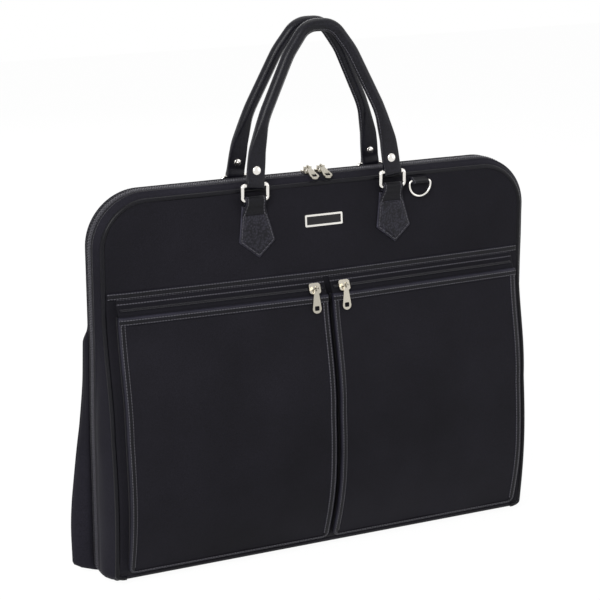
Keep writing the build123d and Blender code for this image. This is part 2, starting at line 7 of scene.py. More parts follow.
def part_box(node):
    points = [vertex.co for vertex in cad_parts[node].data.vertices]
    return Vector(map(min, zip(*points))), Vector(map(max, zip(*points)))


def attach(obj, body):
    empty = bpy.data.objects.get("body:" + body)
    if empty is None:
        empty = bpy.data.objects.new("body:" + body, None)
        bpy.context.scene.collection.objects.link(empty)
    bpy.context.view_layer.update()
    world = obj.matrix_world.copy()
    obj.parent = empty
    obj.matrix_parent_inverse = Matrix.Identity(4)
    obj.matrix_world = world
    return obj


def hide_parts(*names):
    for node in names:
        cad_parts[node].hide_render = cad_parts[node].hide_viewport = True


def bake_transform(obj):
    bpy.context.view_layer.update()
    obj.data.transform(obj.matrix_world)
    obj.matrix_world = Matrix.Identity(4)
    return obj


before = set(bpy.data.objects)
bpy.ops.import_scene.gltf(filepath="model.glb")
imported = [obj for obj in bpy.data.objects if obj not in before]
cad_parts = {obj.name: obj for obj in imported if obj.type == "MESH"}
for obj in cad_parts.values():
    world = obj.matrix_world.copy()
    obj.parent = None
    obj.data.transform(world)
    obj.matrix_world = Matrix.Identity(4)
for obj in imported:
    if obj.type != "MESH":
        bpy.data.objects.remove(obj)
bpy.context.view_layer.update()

# ---------------------------------------------------------------- studio
# A pale seamless floor, four soft lamps and a long lens a little above the
# bag's middle, looking at its front from the left.
view_azimuth = math.radians(25.8)
view_height = math.radians(15.6)
view_distance = 2.20
view_target = Vector((-0.0180, 0.0, 0.3020))
lamp_target = Vector((0.0, 0.0, 0.25))
world_light = 0.22
floor_half = 4.0
floor_glow = 0.96
floor_grey = (0.85, 0.85, 0.85, 1.0)
glow_grey = (0.10, 0.10, 0.10, 1.0)
white = (1.0, 1.0, 1.0, 1.0)
towards_camera = Vector((
    -math.sin(view_azimuth) * math.cos(view_height),
    -math.cos(view_azimuth) * math.cos(view_height),
    math.sin(view_height),
))
camera = bpy.data.objects.new("camera", bpy.data.cameras.new("camera"))
camera.data.lens = 112.2
camera.data.sensor_width = 36.0
camera.location = view_target + towards_camera * view_distance
camera.rotation_euler = (-towards_camera).to_track_quat("-Z", "Y").to_euler()
bpy.context.scene.collection.objects.link(camera)
bpy.context.scene.camera = camera
bpy.context.scene.view_settings.view_transform = "Standard"


def soft_lamp(name, place, size, power):
    data = bpy.data.lights.new(name, "AREA")
    data.shape = "SQUARE"
    data.size = size
    data.energy = power
    lamp = bpy.data.objects.new(name, data)
    lamp.location = place
    lamp.rotation_euler = (lamp_target - Vector(place)).to_track_quat("-Z", "Y").to_euler()
    bpy.context.scene.collection.objects.link(lamp)


soft_lamp("key_lamp", (-1.6, -1.7, 1.7), 1.2, 40)
soft_lamp("fill_lamp", (2.0, -1.9, 0.9), 1.6, 9)
soft_lamp("top_lamp", (0.2, 0.3, 2.2), 1.4, 7)
soft_lamp("back_lamp", (0.6, 2.4, 1.4), 1.6, 9)


def set_inputs(tree, node, inputs):
    """Gives each input its value, or a link where the value is another node's output."""
    for label, value in inputs.items():
        if isinstance(value, bpy.types.NodeSocket):
            tree.links.new(value, node.inputs[label])
        else:
            node.inputs[label].default_value = value


def add_node(tree, kind, inputs):
    node = tree.nodes.new(kind)
    set_inputs(tree, node, inputs)
    return node


def math_node(tree, operation, *values, clamp=False):
    node = tree.nodes.new("ShaderNodeMath")
    node.operation = operation
    node.use_clamp = clamp
    set_inputs(tree, node, dict(enumerate(values)))
    return node.outputs[0]


def new_material(name):
    material = bpy.data.materials.new(name)
    material.use_nodes = True
    return material, material.node_tree, material.node_tree.nodes["Principled BSDF"]


def placed_mesh(name, shape):
    """An object at the origin, made from a bmesh that is then freed."""
    data = bpy.data.meshes.new(name)
    shape.to_mesh(data)
    shape.free()
    piece = bpy.data.objects.new(name, data)
    bpy.context.scene.collection.objects.link(piece)
    return piece


def split_by_ray(tree, lit, shown, output):
    """Lights the bag with one shader and shows the other to the camera, in gloss and in glass."""
    rays = tree.nodes.new("ShaderNodeLightPath").outputs
    direct = math_node(tree, "MAXIMUM", rays["Is Camera Ray"], rays["Is Glossy Ray"])
    seen = math_node(tree, "MAXIMUM", direct, rays["Is Transmission Ray"])
    pick = add_node(tree, "ShaderNodeMixShader", {0: seen, 1: lit.outputs[0], 2: shown.outputs[0]})
    set_inputs(tree, tree.nodes[output], {"Surface": pick.outputs[0]})


world = bpy.data.worlds.new("studio")
world.use_nodes = True
bpy.context.scene.world = world
surround = world.node_tree.nodes["Background"]
set_inputs(world.node_tree, surround, {"Color": white, "Strength": world_light})
backdrop = add_node(world.node_tree, "ShaderNodeBackground", {"Color": white, "Strength": 1.0})
split_by_ray(world.node_tree, surround, backdrop, "World Output")

floor_grid = bmesh.new()
bmesh.ops.create_grid(floor_grid, x_segments=1, y_segments=1, size=floor_half)
floor = placed_mesh("floor", floor_grid)
floor_paint, floor_tree, plain_shader = new_material("floor_paint")
floor_tree.nodes.remove(plain_shader)
matt = add_node(floor_tree, "ShaderNodeBsdfDiffuse", {"Color": floor_grey})
faint = add_node(floor_tree, "ShaderNodeBsdfDiffuse", {"Color": glow_grey})
glow = add_node(floor_tree, "ShaderNodeEmission", {"Strength": floor_glow})
both = add_node(floor_tree, "ShaderNodeAddShader", {0: faint.outputs[0], 1: glow.outputs[0]})
split_by_ray(floor_tree, matt, both, "Material Output")
floor.data.materials.append(floor_paint)

# ---------------------------------------------------------------- panels
# The two large faces: black woven nylon over thin foam, flat at the thin top
# and swelling where the clothes fill the lower part. Each is one shaped sheet.
bag_low, bag_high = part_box("front_panel")
panel_inset = 0.0028
bag_half = bag_high.x + panel_inset
bag_top = bag_high.z + panel_inset
fold_height = bag_low.z
corner_radius = 0.055
corner_z = bag_top - corner_radius
top_depth = 0.020
low_depth = 0.040
low_stops = 0.180
slope_stops = 0.330
swell_most = 0.016
swell_flat = 0.012
swell_end = 0.245
swell_end_share = 0.25
swell_seam = 0.270
swell_round = 0.0001
swell_shift = 0.0042
belly_most = 0.006
panel_straight = 0.8
ripple_end = 0.268
ripple_fade = 0.03
nylon_colour = (0.0100, 0.0094, 0.0132, 1.0)


def held(value):
    return min(max(value, 0.0), 1.0)


def edge_depth(z):
    share = held((z - low_stops) / (slope_stops - low_stops))
    eased = (1.0 - math.cos(math.pi * share)) / 2.0
    belly = math.sin(math.pi * held((z - fold_height) / (low_stops - fold_height)))
    return low_depth + (top_depth - low_depth) * eased + belly_most * belly


def swell_share(x):
    run = swell_end - swell_flat
    away = math.sqrt(x * x + swell_round) - swell_shift
    inner = 1.0 - (1.0 - swell_end_share) * max(away - swell_flat, 0.0) / run
    outer = swell_end_share * (swell_seam - abs(x)) / (swell_seam - swell_end)
    return max(min(inner, outer, 1.0), 0.0)


def face_depth(x, z):
    up = held((z - fold_height) / (bag_top - fold_height))
    return edge_depth(z) + swell_most * swell_share(x) * math.sin(math.pi * up ** 0.9)


def half_width_at(z, inset=0.0):
    reach = bag_half - inset
    radius = corner_radius - inset
    if z <= corner_z:
        return reach
    rise = min(z - corner_z, radius)
    return reach - radius + math.sqrt(max(radius * radius - rise * rise, 0.0))


def wrinkle(height, across, up, seed):
    return height * noise.noise(Vector((across, up, seed)))


weld_distance = 0.00002


def shaped_grid(name, across, up, place, closed=False):
    """A grid moved to place(u, v), u and v from 0 to 1, which gives x, y, z and the UV in metres."""
    sheet = bmesh.new()
    bmesh.ops.create_grid(sheet, x_segments=across, y_segments=up, size=0.5)
    layer = sheet.loops.layers.uv.new("UVMap")
    placed = {vert: place(vert.co.x + 0.5, vert.co.y + 0.5) for vert in sheet.verts}
    for face in sheet.faces:
        face.smooth = True
        for corner in face.loops:
            corner[layer].uv = placed[corner.vert][3:5]
    for vert, spot in placed.items():
        vert.co = Vector(spot[:3])
    if closed:
        bmesh.ops.remove_doubles(sheet, verts=sheet.verts, dist=weld_distance)
        ends = [edge for edge in sheet.edges if edge.is_boundary]
        bmesh.ops.holes_fill(sheet, edges=ends, sides=0)
        bmesh.ops.recalc_face_normals(sheet, faces=sheet.faces)
    return placed_mesh(name, sheet)


def thicken(piece, depth, offset=-1.0):
    wall = piece.modifiers.new("wall", "SOLIDIFY")
    wall.thickness = depth
    wall.offset = offset


def finish_piece(piece, material, body, *nodes):
    piece.data.materials.append(material)
    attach(piece, body)
    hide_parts(*nodes)


def new_group(name, inputs, outputs):
    group = bpy.data.node_groups.new(name, "ShaderNodeTree")
    for label, kind, value in inputs:
        socket = group.interface.new_socket(label, in_out="INPUT", socket_type=kind)
        if value is not None:
            socket.default_value = value
    for label, kind in outputs:
        group.interface.new_socket(label, in_out="OUTPUT", socket_type=kind)
    return group, group.nodes.new("NodeGroupInput").outputs, group.nodes.new("NodeGroupOutput")


def map_range(tree, source, low, high, start=0.0, stop=1.0):
    """A value from start to stop turned into one from low to high."""
    inputs = {"Value": source, "From Min": start, "From Max": stop, "To Min": low, "To Max": high}
    return add_node(tree, "ShaderNodeMapRange", inputs).outputs[0]


def tinted(tree, colour, level):
    """A colour made lighter or darker by a level."""
    node = tree.nodes.new("ShaderNodeVectorMath")
    node.operation = "SCALE"
    set_inputs(tree, node, {0: colour, "Scale": level})
    return node.outputs[0]


def group_node(tree, group, inputs):
    node = tree.nodes.new("ShaderNodeGroup")
    node.node_tree = group
    set_inputs(tree, node, inputs)
    return node.outputs


# Cloth surface: fine threads in low relief, and a faint cloudiness.
cloth_group, cloth_in, cloth_out = new_group(
    "cloth_surface",
    [
        ("Vector", "NodeSocketVector", None),
        ("Colour", "NodeSocketColor", (0.02, 0.02, 0.02, 1.0)),
        ("Thread Scale", "NodeSocketFloat", 900.0),
        ("Relief", "NodeSocketFloat", 0.2),
    ],
    [("Colour", "NodeSocketColor"), ("Roughness", "NodeSocketFloat"), ("Normal", "NodeSocketVector")],
)
threads = add_node(cloth_group, "ShaderNodeTexNoise", {
    "Vector": cloth_in["Vector"], "Scale": cloth_in["Thread Scale"], "Detail": 2.0,
}).outputs[0]
clouds = add_node(cloth_group, "ShaderNodeTexNoise", {
    "Vector": cloth_in["Vector"], "Scale": 9.0, "Detail": 3.0,
}).outputs[0]
cloud_shade = map_range(cloth_group, clouds, 0.75, 1.3, 0.3, 0.7)
thread_shade = map_range(cloth_group, threads, 0.7, 1.35, 0.3, 0.7)
cloth_shade = math_node(cloth_group, "MULTIPLY", cloud_shade, thread_shade)
cloth_relief = add_node(cloth_group, "ShaderNodeBump", {
    "Distance": 0.0004, "Strength": cloth_in["Relief"], "Height": threads,
})
set_inputs(cloth_group, cloth_out, {
    "Colour": tinted(cloth_group, cloth_in["Colour"], cloth_shade),
    "Roughness": map_range(cloth_group, threads, 0.62, 0.86),
    "Normal": cloth_relief.outputs[0],
})


def cloth_material(name, colour, thread_scale=900.0, relief=0.3, sheen=0.04):
    material, tree, shader = new_material(name)
    surface = group_node(tree, cloth_group, {
        "Vector": tree.nodes.new("ShaderNodeTexCoord").outputs["Object"],
        "Colour": colour, "Thread Scale": thread_scale, "Relief": relief,
    })
    set_inputs(tree, shader, {
        "Base Color": surface["Colour"], "Roughness": surface["Roughness"], "Normal": surface["Normal"],
        "Specular IOR Level": 0.12, "Sheen Weight": sheen, "Sheen Roughness": 0.45,
    })
    return material


nylon = cloth_material("black_nylon", nylon_colour)
for half, side in (("front", -1), ("rear", 1)):

    def panel_point(u, v):
        if v <= panel_straight:
            z = fold_height + (corner_z - fold_height) * v / panel_straight
        else:
            turn = math.pi / 2 * (v - panel_straight) / (1 - panel_straight)
            z = corner_z + (corner_radius - 0.001) * math.sin(turn)
        x = (2 * u - 1) * half_width_at(z, 0.0012)
        ripple = wrinkle(0.0012, x * 9, z * 7, side * 3.0) + wrinkle(0.0006, x * 30, z * 14, side * 5.0)
        fade = min(1.0, (ripple_end - abs(x)) / ripple_fade) if abs(x) < ripple_end else 0.0
        return x, side * (face_depth(x, z) + ripple * fade), z, x, z

    panel = shaped_grid(f"{half}_panel_cloth", 90, 80, panel_point)
    thicken(panel, 0.0035, side)
    finish_piece(panel, nylon, f"{half}_half", f"{half}_panel")

# ---------------------------------------------------------------- gussets
# The arched sides that run from the zip round to the piping, over both side
# walls and the top, and curl under at the lower corners.
foot_radius = 0.012
tape_edge = abs(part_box("main_zip_tape_front")[0].y)
crown_rise = 0.0072
zip_swell = 0.0020
filled_top = 0.290
filled_run = 0.130
front_swell = 0.0025
rear_step = 0.0060
rear_step_top = 0.302
rear_step_run = 0.022
rear_swell = 0.0175
rear_swell_top = 0.240
rear_swell_run = 0.200
rear_seam = 0.42
seam_height = 0.0013
seam_width = 0.035
gusset_inset = 0.0014
welt_height = 0.0009
welt_place = 0.0016
welt_width = 0.0011
fold_reach = low_depth + 0.0002
fold_floor = 0.0003
side_run = corner_z - fold_height
corner_run = math.pi / 2 * corner_radius
foot_run = math.pi / 2 * foot_radius
top_run = 2 * (bag_half - corner_radius)
rim_length = 2 * (foot_run + side_run + corner_run) + top_run
gusset_colour = (0.0128, 0.0120, 0.0178, 1.0)


def smooth_step(value):
    share = held(value)
    return share * share * (3 - 2 * share)


def ridge(away, width):
    """A rounded ridge of height one, at a distance away from its crest."""
    return math.exp(-(away / width) ** 2)


def fold_level(y):
    """Height of the bottom fold's underside: flat in the middle, rounding up to the panels."""
    return fold_floor + fold_height * (1.0 - (1.0 - min(abs(y) / fold_reach, 1.0) ** 2.4) ** 0.5)


def filled_at(z):
    return smooth_step((filled_top - z) / filled_run)


def stepped_at(z):
    return smooth_step((rear_step_top - z) / rear_step_run)


def swell_at(half, z):
    """How far the middle of a side wall stands out beyond its two edges."""
    if half == "front":
        return front_swell * filled_at(z)
    return rear_step * stepped_at(z) + rear_swell * smooth_step((rear_swell_top - z) / rear_swell_run)


def rim(along, grow=0.0, floor=0.0006):
    """x, z, outward x and outward z on the bag's outline at a distance along it, from the low left end."""
    mirrored = along > rim_length / 2
    reach = (rim_length - along if mirrored else along) - foot_run
    if reach < 0:
        turn = -reach / foot_radius
        out_x, out_z = -math.cos(turn), -math.sin(turn)
        x = -bag_half + foot_radius + (foot_radius + grow) * out_x
        z = fold_height + (fold_height - floor) * out_z
        grow = 0.0
    elif reach < side_run:
        x, z, out_x, out_z = -bag_half, fold_height + reach, -1.0, 0.0
    elif reach < side_run + corner_run:
        turn = (reach - side_run) / corner_radius
        out_x, out_z = -math.cos(turn), math.sin(turn)
        x = -bag_half + corner_radius + corner_radius * out_x
        z = corner_z + corner_radius * out_z
    else:
        x, z = -bag_half + corner_radius + reach - side_run - corner_run, bag_top
        out_x, out_z = 0.0, 1.0
    x += grow * out_x
    z += grow * out_z
    return (-x, z, -out_x, out_z) if mirrored else (x, z, out_x, out_z)


gusset_cloth = cloth_material("gusset_nylon", gusset_colour, thread_scale=700.0, sheen=0.08)
for half, side in (("front", -1), ("rear", 1)):

    def gusset_point(u, v):
        along = u * rim_length
        level = rim(along)[1]
        edge = edge_depth(level) - gusset_inset
        swell = zip_swell * filled_at(level) * (1.0 - v * v)
        swell += swell_at(half, level) * math.sin(math.pi * v ** 0.8)
        if half == "rear":
            swell += seam_height * ridge(v - rear_seam, seam_width) * stepped_at(level)
        across = tape_edge + v * (edge - tape_edge)
        welt = welt_height * ridge(v * (edge - tape_edge) - welt_place, welt_width)
        pucker = wrinkle(0.0005, along * 22, v * 2, side) * math.sin(math.pi * v)
        grow = crown_rise * (1.0 - v ** 1.6) + swell + welt + pucker
        x, z = rim(along, grow, fold_level(across))[:2]
        return x, side * across, z, along, v * 0.02

    gusset = shaped_grid(f"{half}_gusset_cloth", 360, 30, gusset_point)
    thicken(gusset, 0.0018, -side)
    finish_piece(gusset, gusset_cloth, f"{half}_half", f"{half}_gusset")

# ---------------------------------------------------------------- piping
# A corded edge on each half: a strip of leather folded round a cord and sewn in
# between the panel and the gusset.
piping_radius = 0.0028
leather_colour = (0.0075, 0.0072, 0.0110, 1.0)
thread_colour = (0.110, 0.107, 0.125, 1.0)

# Leather surface: small cells of grain with painted shade in their crevices, a painted highlight along
# sewn edges, and softer and shinier patches.
leather_group, leather_in, leather_out = new_group(
    "leather_surface",
    [
        ("Vector", "NodeSocketVector", None),
        ("Colour", "NodeSocketColor", (0.04, 0.04, 0.05, 1.0)),
        ("Grain Scale", "NodeSocketFloat", 900.0),
        ("Relief", "NodeSocketFloat", 0.35),
        ("Stitches", "NodeSocketFloat", 0.0),
        ("Edge", "NodeSocketFloat", 0.0),
        ("Thread", "NodeSocketColor", thread_colour),
    ],
    [("Colour", "NodeSocketColor"), ("Roughness", "NodeSocketFloat"), ("Normal", "NodeSocketVector")],
)


def mixed(tree, share, first, second):
    """Two colours mixed."""
    node = tree.nodes.new("ShaderNodeMix")
    node.data_type = "RGBA"
    set_inputs(tree, node, {0: share, 6: first, 7: second})
    return node.outputs[2]


grain = add_node(leather_group, "ShaderNodeTexVoronoi", {
    "Vector": leather_in["Vector"], "Scale": leather_in["Grain Scale"],
}).outputs["Distance"]
patches = add_node(leather_group, "ShaderNodeTexNoise", {
    "Vector": leather_in["Vector"], "Scale": 40.0, "Detail": 3.0,
}).outputs[0]
patch_shade = map_range(leather_group, patches, 0.8, 1.25, 0.3, 0.7)
# Grain cells are lighter in the middle and darker at their rims: grain pattern with painted shade in its
# crevices.
grain_crevice_shade = map_range(leather_group, grain, 1.45, 0.35, 0.0, 0.7)
# The Edge rim lightens the leather: a painted highlight along sewn edges, added to the painted crevice
# shade.
rim_highlight_and_crevice_shade = math_node(leather_group, "MULTIPLY_ADD", leather_in["Edge"], 2.6, grain_crevice_shade)
leather_shade = math_node(leather_group, "MULTIPLY", patch_shade, rim_highlight_and_crevice_shade)
leather_tint = tinted(leather_group, leather_in["Colour"], leather_shade)
stitch_height = math_node(leather_group, "MULTIPLY_ADD", leather_in["Stitches"], 1.5, grain)
leather_bump = add_node(leather_group, "ShaderNodeBump", {
    "Distance": 0.0003, "Strength": leather_in["Relief"], "Height": stitch_height,
})
set_inputs(leather_group, leather_out, {
    "Colour": mixed(leather_group, leather_in["Stitches"], leather_tint, leather_in["Thread"]),
    "Roughness": map_range(leather_group, patches, 0.26, 0.5),
    "Normal": leather_bump.outputs[0],
})

# Stitches and painted edge highlights: dashes along a UV in metres and a paler rim
# of painted highlight, both at set distances from the nearer long edge of a strip.
stitch_group, stitch_in, stitch_out = new_group(
    "stitch_rows",
    [
        ("UV", "NodeSocketVector", None),
        ("Pitch", "NodeSocketFloat", 0.0034),
        ("Row", "NodeSocketFloat", 0.0015),
        ("Width", "NodeSocketFloat", 1.0),
        ("Thread Width", "NodeSocketFloat", 0.00045),
        ("Rim Highlight Width", "NodeSocketFloat", 0.0010),
    ],
    [("Mask", "NodeSocketFloat"), ("Edge", "NodeSocketFloat")],
)


def stitch_math(*parts, clamp=False):
    return math_node(stitch_group, *parts, clamp=clamp)


apart = add_node(stitch_group, "ShaderNodeSeparateXYZ", {0: stitch_in["UV"]}).outputs
steps = stitch_math("DIVIDE", apart["X"], stitch_in["Pitch"])
dash = stitch_math("LESS_THAN", stitch_math("FRACT", steps), 0.74)
from_edge = stitch_math("MINIMUM", apart["Y"], stitch_math("SUBTRACT", stitch_in["Width"], apart["Y"]))
off_row = stitch_math("ABSOLUTE", stitch_math("SUBTRACT", from_edge, stitch_in["Row"]))
on_row = stitch_math("LESS_THAN", off_row, stitch_in["Thread Width"])
# Edge: a paler rim near each long edge, painted highlight rather than wear.
edge_share = stitch_math("DIVIDE", from_edge, stitch_in["Rim Highlight Width"])
set_inputs(stitch_group, stitch_out, {
    "Mask": stitch_math("MULTIPLY", dash, on_row),
    "Edge": stitch_math("SUBTRACT", 1.0, edge_share, clamp=True),
})


def leather_material(
    name, colour=leather_colour, grain=900.0, depth=0.35, row=None, width=1.0, rim_highlight_width=0.0010, shine=0.05
):
    """Leather, with stitches at a distance in from both long edges of a strip where a row is given, and a
    painted highlight along those edges.
    """
    material, tree, shader = new_material(name)
    place = tree.nodes.new("ShaderNodeTexCoord").outputs
    inputs = {
        "Vector": place["Object"], "Colour": colour, "Grain Scale": grain, "Relief": depth,
        "Thread": thread_colour,
    }
    if row is not None:
        stitches = group_node(tree, stitch_group, {
            "UV": place["UV"], "Row": row, "Width": width, "Rim Highlight Width": rim_highlight_width,
        })
        inputs.update({"Stitches": stitches["Mask"], "Edge": stitches["Edge"]})
    surface = group_node(tree, leather_group, inputs)
    set_inputs(tree, shader, {
        "Base Color": surface["Colour"], "Roughness": surface["Roughness"], "Normal": surface["Normal"],
        "Specular IOR Level": 0.15, "Coat Weight": shine, "Coat Roughness": 0.22,
    })
    return material


piping_leather = leather_material("piping_leather")
for half, side in (("front", -1), ("rear", 1)):

    def piping_point(u, v):
        along = u * rim_length
        x, z, out_x, out_z = rim(along, -piping_radius / 2, fold_height - 0.0040)
        turn = 2 * math.pi * v
        out = piping_radius * math.cos(turn)
        across = side * (edge_depth(z) - piping_radius / 2 + piping_radius * math.sin(turn))
        return x + out * out_x, across, z + out * out_z, along, v * 0.0176

    piping = shaped_grid(f"{half}_piping_cord", 360, 14, piping_point, closed=True)
    finish_piece(piping, piping_leather, f"{half}_half", f"{half}_piping")

# ---------------------------------------------------------------- main zip
# Woven nylon tapes and moulded interlocking teeth round the edge, one set on
# each half. A row of stitches runs along both edges of each tape.
zip_rise = 0.0074
tooth_pitch = 0.0029
tooth_rise = 0.0011
tooth_steps = (0.0, 0.12, 0.50, 0.62)
tooth_count = int(rim_length / tooth_pitch)
tape_colour = (0.0070, 0.0066, 0.0098, 1.0)
teeth_colour = (0.0700, 0.0680, 0.0810, 1.0)
tape_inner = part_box("main_zip_coil_rear")[1].y
tape_width = tape_edge - tape_inner
tape_lap = 0.0006
tooth_sunk = 0.0012
tape_cloth = cloth_material("zip_tape_weave", tape_colour, thread_scale=1500.0, relief=0.5)
tape_tree = tape_cloth.node_tree
tape_shader = tape_tree.nodes["Principled BSDF"]
woven_colour = tape_shader.inputs["Base Color"].links[0].from_socket
tape_rows = group_node(tape_tree, stitch_group, {
    "UV": tape_tree.nodes.new("ShaderNodeTexCoord").outputs["UV"], "Row": 0.0013, "Width": tape_width,
})
set_inputs(tape_tree, tape_shader, {
    "Base Color": mixed(tape_tree, tape_rows["Mask"], woven_colour, thread_colour),
})


def worn_material(name, colour, patch_scale, detail, smoothest, roughest):
    """A plain colour with patches of two roughnesses."""
    material, tree, shader = new_material(name)
    patches = add_node(tree, "ShaderNodeTexNoise", {
        "Vector": tree.nodes.new("ShaderNodeTexCoord").outputs["Object"],
        "Scale": patch_scale, "Detail": detail,
    })
    roughness = map_range(tree, patches.outputs[0], smoothest, roughest)
    set_inputs(tree, shader, {"Base Color": colour, "Roughness": roughness})
    return material, shader


def teeth_material(name, colour):
    material, shader = worn_material(name, colour, 300.0, 2.0, 0.25, 0.45)
    shader.inputs["Specular IOR Level"].default_value = 0.2
    return material


def tooth_at(step):
    """Place along a zip, counted in teeth, and the height share there: four steps make one tooth."""
    tooth, phase = divmod(step, 4)
    return tooth + tooth_steps[phase], 1.0 if phase in (1, 2) else 0.0


def domed(v, power=4):
    return 1.0 - (2 * v - 1) ** power


teeth_nylon = teeth_material("zip_teeth", teeth_colour)
for half, side in (("front", -1), ("rear", 1)):

    def tape_point(u, v):
        along = u * rim_length
        rib = 0.00025 * math.sin(v * 6 * math.pi) ** 2
        swell = zip_swell * filled_at(rim(along)[1])
        x, z = rim(along, zip_rise + swell + rib - tape_lap)[:2]
        across = tape_inner - tape_lap + v * (tape_edge - tape_inner + 2 * tape_lap)
        return x, side * across, z, along, v * tape_width

    tape = shaped_grid(f"{half}_zip_tape_weave", 340, 12, tape_point)
    thicken(tape, 0.0012, -side)
    finish_piece(tape, tape_cloth, f"{half}_half", f"main_zip_tape_{half}")

    def teeth_point(u, v):
        place, high = tooth_at(round(u * 4 * tooth_count))
        along = min((place + (0.5 if side > 0 else 0.0)) * tooth_pitch, rim_length)
        swell = zip_swell * filled_at(rim(along)[1])
        x, z = rim(along, zip_rise + swell - tooth_sunk + (tooth_sunk + tooth_rise * high) * domed(v))[:2]
        return x, side * (0.0001 + v * (tape_inner + 0.0002)), z, along, v * 0.003

    teeth = shaped_grid(f"{half}_zip_teeth", 4 * tooth_count, 6, teeth_point)
    thicken(teeth, 0.0008, -side)
    finish_piece(teeth, teeth_nylon, f"{half}_half", f"main_zip_coil_{half}")

# ---------------------------------------------------------------- bottom fold
# The black nylon that joins the two panels under the bag, sewn in along their
# lower edges.
def fold_point(u, v):
    x = (2 * u - 1) * (bag_half - 0.004)
    y = (2 * v - 1) * fold_reach
    return x, y, fold_level(y), x, y


fold = shaped_grid("bottom_fold_cloth", 60, 64, fold_point)
thicken(fold, 0.0018, 1.0)
fold.data.materials.append(nylon)
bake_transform(fold)
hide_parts("rear_fold", "front_fold")

# ---------------------------------------------------------------- trim band
# A leather band across the front, sewn on with two rows of stitches over the
# upper edge of the pocket zips.
band_low, band_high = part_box("front_trim_band")
trim_low = band_low.z
trim_lift = 0.0019
band_leather = leather_material("band_leather", row=0.0014, width=band_high.z - trim_low)


def on_front(x, z, lift):
    return -(face_depth(x, z) + lift)


def spot_in(low, high, u, v):
    return low.x + u * (high.x - low.x), low.z + v * (high.z - low.z)


def band_point(u, v):
    x, z = spot_in(band_low, band_high, u, v)
    return x, on_front(x, z, trim_lift * domed(v, 8) ** 0.5), z, x, z - trim_low


band = shaped_grid("front_trim_leather", 150, 16, band_point)
thicken(band, 0.0010, -1.0)
finish_piece(band, band_leather, "front_half", "front_trim_band")

# ---------------------------------------------------------------- front pockets
# Two wide patch pockets that stand off the panel at their zipped mouths and
# lie nearly flat at the bottom. Their fronts sag a little between the seams.
mouth_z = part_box("pocket_left")[1].z
pocket_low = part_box("pocket_left")[0].z
pocket_inner = -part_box("pocket_left")[1].x
pocket_outer = -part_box("pocket_left")[0].x
pocket_spans = (("left", -pocket_outer, -pocket_inner), ("right", pocket_inner, pocket_outer))
pocket_stand = 0.011
pocket_band = 0.0015
pocket_taper = 0.006
pocket_taper_run = 0.090
pocket_corner = 0.007
pocket_sag = 0.0022
seam_round = 0.0015
seam_lift = 0.0004


def pocket_rise(z):
    share = held((trim_low - z) / (trim_low - mouth_z))
    up = held((z - pocket_low) / pocket_taper_run)
    thin = (1.0 - math.sin(math.pi / 2 * up)) * pocket_taper
    return pocket_band + (pocket_stand - pocket_band - thin) * share


def patch_pocket(name, x0, x1, top, rise_at, side):
    def point(u, v):
        z = pocket_low + (top - pocket_low) * v ** 1.4
        low_corner = max(pocket_corner - (z - pocket_low), 0.0)
        inset = pocket_corner - math.sqrt(pocket_corner ** 2 - low_corner ** 2)
        spread = (1.0 - math.cos(math.pi * u)) / 2
        x = x0 + inset + (x1 - x0 - 2 * inset) * spread
        from_seam = max(min(x - x0 - inset, x1 - inset - x, z - pocket_low), 0.0)
        wall = math.sqrt(1.0 - max(1.0 - from_seam / seam_round, 0.0) ** 2)
        across = math.sin(math.pi * held((x - x0) / (x1 - x0)))
        height = held((z - pocket_low) / (top - 0.05 - pocket_low))
        sag = pocket_sag * across * math.sin(math.pi * height) ** 1.5
        crease = wrinkle(0.0009, x * 14, z * 9, side * 2.0 + x0) + wrinkle(0.0005, x * 34, z * 22, x0)
        crease *= across * held((top - 0.03 - z) / 0.02)
        lift = seam_lift + (rise_at(z) - seam_lift) * wall + sag + crease
        return x, side * (face_depth(x, z) + lift), z, x, z

    pocket = shaped_grid(name, 110, 100, point)
    thicken(pocket, 0.0014, side)
    return pocket


def pocket_edge(x0, x1, top, along):
    """x, z and the inward direction on a pocket's outline, down one side, along the bottom and up."""
    down = top - pocket_low - pocket_corner
    bend = math.pi / 2 * pocket_corner
    flat = x1 - x0 - 2 * pocket_corner
    length = 2 * (down + bend) + flat
    mirrored = along > length / 2
    reach = length - along if mirrored else along
    if reach < down:
        x, z, in_x, in_z = x0, top - reach, 1.0, 0.0
    elif reach < down + bend:
        turn = (reach - down) / pocket_corner
        in_x, in_z = math.cos(turn), math.sin(turn)
        x = x0 + pocket_corner * (1.0 - in_x)
        z = pocket_low + pocket_corner * (1.0 - in_z)
    else:
        x, z, in_x, in_z = x0 + pocket_corner + reach - down - bend, pocket_low, 0.0, 1.0
    return (x0 + x1 - x, z, -in_x, in_z) if mirrored else (x, z, in_x, in_z)


def joined(name, *pieces):
    whole = bmesh.new()
    for piece in pieces:
        whole.from_mesh(piece.data)
        bpy.data.objects.remove(piece)
    return placed_mesh(name, whole)


binding_width = 0.0070
binding_low_width = 0.0026
binding_height = 0.0012
wrap_out = 0.0008
wrap_down = 0.0030
wrap_share = 0.25
wrap_lip = 0.4


def edge_profile(v, width):
    """Distance in from the seam and height over the face, round the wrapped edge of a binding."""
    if v < wrap_share:
        turn = v / wrap_share
        return -wrap_out, -wrap_down + (wrap_down + wrap_lip * binding_height) * turn
    over = (v - wrap_share) / (1.0 - wrap_share)
    crown = binding_height * domed(over) + wrap_lip * binding_height * (1.0 - over)
    return -wrap_out + (width + wrap_out) * over, crown


